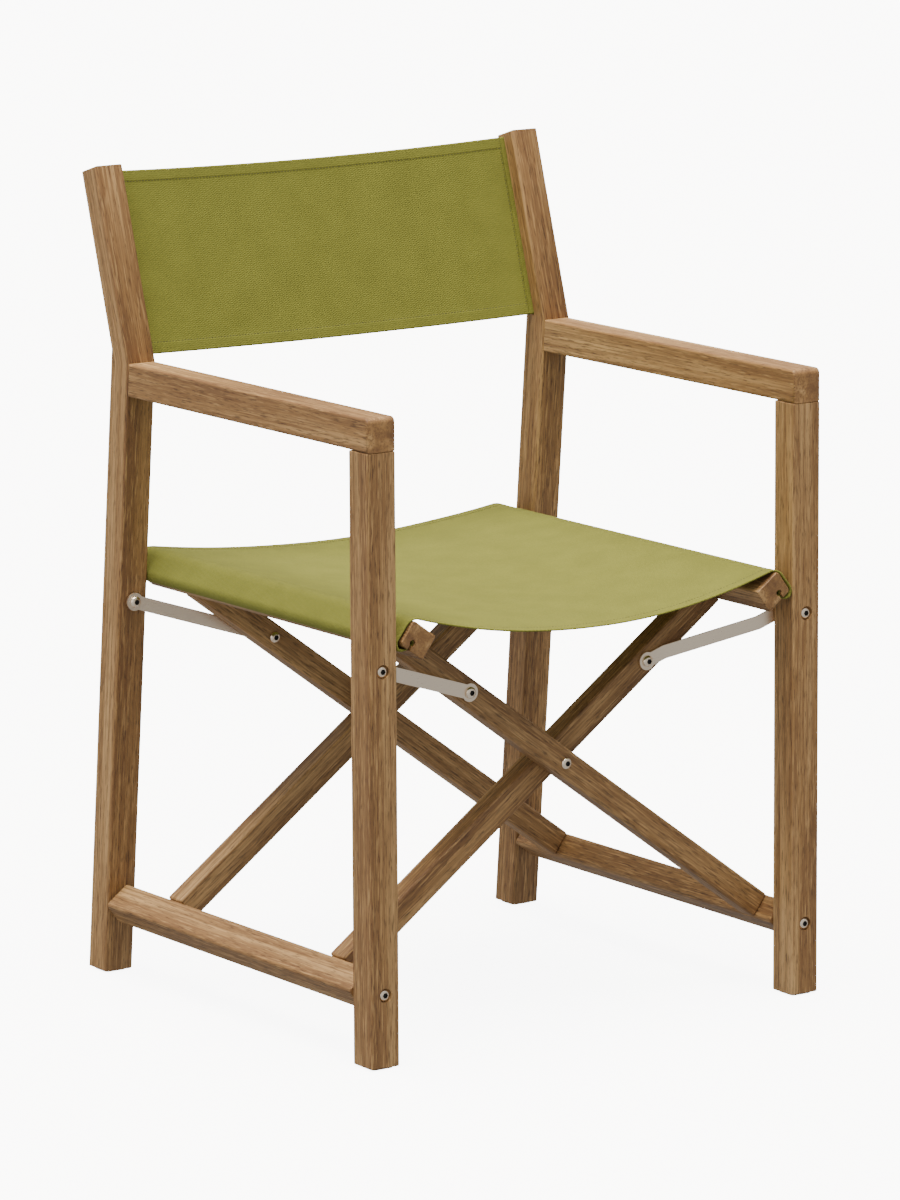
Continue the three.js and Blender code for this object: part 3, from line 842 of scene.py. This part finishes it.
def back_surface(canvas):
    """Mid-surface of the back between the posts, slightly bowed to the rear."""
    lean = math.atan(UPPER_LEAN)
    up = np.array([0, math.sin(lean), math.cos(lean)])
    rear = np.array([0, math.cos(lean), -math.sin(lean)])
    foot = np.array([0, BACK_KINK, ARM_TOP]) + up * SLING_FOOT + rear * SLING_SETBACK
    length = SLING_HEIGHT
    rows = hem_rows(length, canvas.hem)
    columns = hem_rows(SLING_WIDTH, 8 * MM)
    points = np.zeros((len(rows), len(columns), 3))
    cut = np.zeros((len(rows), len(columns), 2))
    for i, row in enumerate(rows):
        for j, column in enumerate(columns):
            x = column - SLING_WIDTH / 2
            t = min(1.0, abs(x) / POST_INNER)
            free = 1 - t * t
            share = row / length
            bow = 5.0 * MM * free
            bow += 0.8 * MM * free * ripple(x, row, 0.12, 9.0)
            bow += 0.3 * MM * min(1, free * 5) * ripple(x, row * 0.2, 0.03, 4.0)
            dip = -3.0 * MM * free - 1.0 * MM * free * (2 * share - 1)
            place = foot + up * (row + dip) + rear * bow
            points[i, j] = (x, place[1], place[2])
            cut[i, j] = (x, row)
    return points, cut, rows, columns, length


# Operators


class CHAIR_OT_timber(bpy.types.Operator):
    """Gives every wooden piece its grain, in the direction it was sawn"""

    bl_idname = "chair.timber"
    bl_label = "Timber"

    def execute(self, context):
        colours = context.scene.chair_timber
        upright, level = (0, math.pi / 2, 0), (0, 0, -math.pi / 2)
        lies = {
            "upright": hardwood("Hardwood, upright", upright, colours),
            # painted light: the back post and armrest are painted paler than the other pieces, for
            # the stronger light on the chair's upper parts
            "kinked": hardwood("Hardwood, back post", upright, colours, True, (0.9, 0.98)),
            "armrest": hardwood("Hardwood, armrest", level, colours, tone_and_light=(0.94, 1.0)),
            "level": hardwood("Hardwood, front to back", level, colours),
            "rising right": hardwood("Hardwood, inner leg", (0, LEG_ANGLE, 0), colours),
            "rising left": hardwood("Hardwood, outer leg", (0, math.pi - LEG_ANGLE, 0), colours),
        }
        sawn = {
            "front_post": "upright", "back_post": "kinked", "armrest": "armrest",
            "seat_rail": "level", "bottom_rail": "level",
            "inner_leg": "rising right", "outer_leg": "rising left",
        }
        found = 0
        for node in sorted(frame["nodes"]):
            for start, lie in sawn.items():
                if node.startswith(start):
                    wear(node, lies[lie])
                    soften(node)
                    found += 1
        if found != WOODEN_PIECES:
            raise RuntimeError(f"expected {WOODEN_PIECES} wooden pieces, found {found}")
        return {"FINISHED"}


class CHAIR_OT_bolts(bpy.types.Operator):
    """Makes the button-head bolts at the pivots, links and crossing"""

    bl_idname = "chair.bolts"
    bl_label = "Bolts"

    def execute(self, context):
        metal = context.scene.chair_metal
        polished = brushed_stainless("Stainless steel, turned", metal.steel, 0.2, (3.0, 3.0, 3.0))
        # near-black inside the hex socket: painted shade for the shadow in the recess
        socket_shade = moulded_plastic("Socket, painted shade", linear("#14110E"), 0.5)
        for node in sorted(frame["nodes"]):
            if "bolt" not in node or node.startswith("link_leg_bolt") and node.endswith("back"):
                continue
            facing = -1 if node.endswith("front") else 1
            if node.startswith("link_post_bolt"):
                facing = -1
            if node.startswith("leg_bolt"):
                facing = 1 if node.endswith("front") else -1
            shank = THICK_SHANK if "pivot" in node or "crossing" in node else THIN_SHANK
            button_head(node, facing, body_with(node), shank, polished, socket_shade, metal.socket)
        return {"FINISHED"}


class CHAIR_OT_links(bpy.types.Operator):
    """Finishes the flat steel links, nuts and rods"""

    bl_idname = "chair.links"
    bl_label = "Links"

    def execute(self, context):
        metal = context.scene.chair_metal
        bar = brushed_stainless("Stainless steel, flat bar", metal.steel, 0.34, (30.0, 1.5, 1.5))
        plain = brushed_stainless("Stainless steel, plain", metal.steel, 0.3)
        for side in SIDES:
            for place in PLACES:
                wear(f"link_{side}_{place}", bar)
                soften(f"link_{side}_{place}", sharp=40, bevel=0.3 * MM)
            for node in (f"seat_rod_{side}", f"back_rod_{side}"):
                wear(node, plain)
                soften(node, sharp=40)
            for node in (f"link_leg_bolt_{side}_back", f"link_post_nut_{side}_front"):
                wear(node, plain)
                soften(node, sharp=40, bevel=0.35 * MM)
        for place in PLACES:
            wear(f"crossing_nut_{place}", plain)
            soften(f"crossing_nut_{place}", sharp=40, bevel=0.35 * MM)
        return {"FINISHED"}


class CHAIR_OT_small_parts(bpy.types.Operator):
    """Finishes the foot glides and the crossing washers"""

    bl_idname = "chair.small_parts"
    bl_label = "Glides and washers"

    def execute(self, context):
        glide = moulded_plastic("Polyamide, moulded", linear("#2A2724"))
        fibre = moulded_plastic("Pressed fibre", linear("#8B877E"), 0.7)
        for side in SIDES:
            for place in PLACES:
                wear(f"glide_{side}_{place}", glide)
                soften(f"glide_{side}_{place}", sharp=60)
        for place in PLACES:
            wear(f"crossing_washer_{place}", fibre)
            soften(f"crossing_washer_{place}", sharp=40, bevel=0.15 * MM)
        return {"FINISHED"}


class CHAIR_OT_seat_sling(bpy.types.Operator):
    """Hangs the canvas seat between the rails and wraps its edges round them"""

    bl_idname = "chair.seat_sling"
    bl_label = "Seat sling"

    def execute(self, context):
        canvas = context.scene.chair_canvas
        twill = canvas_material("Cotton twill, seat", tuple(canvas.colour))
        thread = thread_material("Sewing thread, seat", tuple(canvas.thread_colour))
        points, cut, rows, length = seat_surface(canvas)
        thickness = hem_shape(rows, length, canvas.hem, canvas.thickness)
        spread = np.repeat(thickness[:, None], points.shape[1], axis=1)
        seat = cloth("seat_canvas", points, spread, cut, twill)
        lines = []
        for target in (canvas.hem, length - canvas.hem):
            row = int(np.argmin(np.abs(rows - target)))
            lines.append(seam_line(points, row, thickness[row]))
        sewn = stitching("seat_stitching", lines, canvas.stitch, canvas.thread, thread)
        for piece in (seat, sewn):
            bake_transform(piece)
        sleeves = [sleeve(side, canvas, twill) for side in (-1, 1)]
        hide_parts("seat_sling_left", "seat_sling_right")
        return {"FINISHED"}


class CHAIR_OT_back_sling(bpy.types.Operator):
    """Stretches the canvas back between the posts' grooves"""

    bl_idname = "chair.back_sling"
    bl_label = "Back sling"

    def execute(self, context):
        canvas = context.scene.chair_canvas
        twill = canvas_material("Cotton twill, back", tuple(canvas.colour))
        thread = thread_material("Sewing thread, back", tuple(canvas.thread_colour))
        points, cut, rows, columns, length = back_surface(canvas)
        tall = hem_shape(rows, length, canvas.hem, canvas.thickness)
        wide = hem_shape(columns, columns[-1], SIDE_SEAM, canvas.thickness)
        spread = np.maximum(tall[:, None], np.minimum(wide[None, :], 1.7 * MM))
        back = cloth("back_canvas", points, spread, cut, twill)
        lines = []
        for target in (canvas.hem, length - canvas.hem):
            row = int(np.argmin(np.abs(rows - target)))
            lines.append(front_seam(points[:, 2:-2], row, tall[row]))
        upright = points[1:-1].transpose(1, 0, 2)
        for target in (SIDE_SEAM, columns[-1] - SIDE_SEAM):
            column = int(np.argmin(np.abs(columns - target)))
            lines.append(front_seam(upright, column, wide[column]))
        sewn = stitching("back_stitching", lines, canvas.stitch, canvas.thread, thread)
        for piece in (back, sewn):
            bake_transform(piece)
        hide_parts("back_sling_left", "back_sling_right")
        return {"FINISHED"}


def place_camera():
    yaw, pitch, roll = (math.radians(a) for a in CAMERA_TURN)
    ahead = Vector((
        math.sin(yaw) * math.cos(pitch), math.cos(yaw) * math.cos(pitch), -math.sin(pitch)
    ))
    right = Vector((math.cos(yaw), -math.sin(yaw), 0))
    up = right.cross(ahead)
    level_right = right * math.cos(roll) + up * math.sin(roll)
    level_up = level_right.cross(ahead)
    data = bpy.data.cameras.new("camera")
    data.sensor_width = 36
    data.lens = CAMERA_LENS
    data.clip_end = 200
    camera = bpy.data.objects.new("camera", data)
    basis = Matrix((level_right, level_up, -ahead)).transposed().to_4x4()
    camera.matrix_world = Matrix.Translation(CAMERA_PLACE) @ basis
    bpy.context.scene.collection.objects.link(camera)
    bpy.context.scene.camera = camera


def place_sun(name, toward, strength, spread, colour):
    data = bpy.data.lights.new(name, "SUN")
    data.energy = strength
    data.angle = math.radians(spread)
    data.color = linear(colour)
    light = bpy.data.objects.new(name, data)
    light.rotation_euler = Vector(toward).to_track_quat("Z", "Y").to_euler()
    bpy.context.scene.collection.objects.link(light)


def studio_sky():
    """An even room, a little brighter overhead and to the left."""
    world = bpy.data.worlds.new("studio")
    world.use_nodes = True
    tree = world.node_tree
    tree.nodes.clear()
    toward = add(tree, "ShaderNodeTexCoord").outputs["Generated"]
    level = add(
        tree, "ShaderNodeVectorMath", {1: (-0.55, -0.1, 0.83)}, {0: toward},
        operation="DOT_PRODUCT",
    )
    share = add(
        tree, "ShaderNodeMapRange", {1: -0.25, 2: 0.35, 3: 0.47, 4: 0.6},
        {0: level.outputs["Value"]},
    )
    sky = add(
        tree, "ShaderNodeBackground", {0: rgba(linear("#FFFDF8"))}, {1: share.outputs[0]}
    )
    add(tree, "ShaderNodeOutputWorld", links={0: sky.outputs[0]})
    return world


def studio_paper():
    """Matt white paper, lit from behind so that it stays white under the chair."""
    material, tree = new_material("Studio paper")
    shader = add(
        tree, "ShaderNodeBsdfPrincipled",
        {"Base Color": rgba(linear("#F4F4F2")), "Roughness": 0.95,
         "Emission Color": rgba(linear("#FFFFFF")), "Emission Strength": 8},
    )
    finish_material(tree, shader)
    return material


class CHAIR_OT_stage(bpy.types.Operator):
    """Lays the floor and places the lights and the camera"""

    bl_idname = "chair.stage"
    bl_label = "Stage"

    def execute(self, context):
        paper = studio_paper()
        corners = [
            (x * PAPER_REACH, y * PAPER_REACH, 0) for x, y in ((-1, -1), (1, -1), (1, 1), (-1, 1))
        ]
        floor = mesh_object("floor", corners, [[0, 1, 2, 3]], paper)
        # the glow of the paper stays off the chair
        floor.visible_diffuse = False
        floor.visible_glossy = False
        context.scene.world = studio_sky()
        place_sun("key", (-0.12, -0.05, 1), 6.2, 50, "#FFF6E8")
        place_sun("fill", (-1, -0.3, 0.35), 0.3, 50, "#FFF8EE")
        place_camera()
        return {"FINISHED"}


class CHAIR_PT_panel(bpy.types.Panel):
    """Buttons for the chair's pieces"""

    bl_label = "Folding Armchair"
    bl_idname = "CHAIR_PT_panel"
    bl_space_type = "VIEW_3D"
    bl_region_type = "UI"
    bl_category = "Chair"

    def draw(self, context):
        for operator in OPERATORS:
            self.layout.operator(operator.bl_idname)


GROUPS = (ChairCanvas, ChairTimber, ChairMetal)
OPERATORS = (
    CHAIR_OT_stage, CHAIR_OT_timber, CHAIR_OT_bolts, CHAIR_OT_links, CHAIR_OT_small_parts,
    CHAIR_OT_seat_sling, CHAIR_OT_back_sling,
)


def register():
    for part in (*GROUPS, *OPERATORS, CHAIR_PT_panel):
        bpy.utils.register_class(part)
    bpy.types.Scene.chair_canvas = PointerProperty(type=ChairCanvas)
    bpy.types.Scene.chair_timber = PointerProperty(type=ChairTimber)
    bpy.types.Scene.chair_metal = PointerProperty(type=ChairMetal)


def unregister():
    del bpy.types.Scene.chair_canvas
    del bpy.types.Scene.chair_timber
    del bpy.types.Scene.chair_metal
    for part in reversed((*GROUPS, *OPERATORS, CHAIR_PT_panel)):
        bpy.utils.unregister_class(part)


def plain(box):
    return [[float(value) for value in corner] for corner in box]


def main():
    register()
    for operator in OPERATORS:
        group, name = operator.bl_idname.split(".")
        getattr(getattr(bpy.ops, group), name)()


if __name__ == "__main__":
    main()
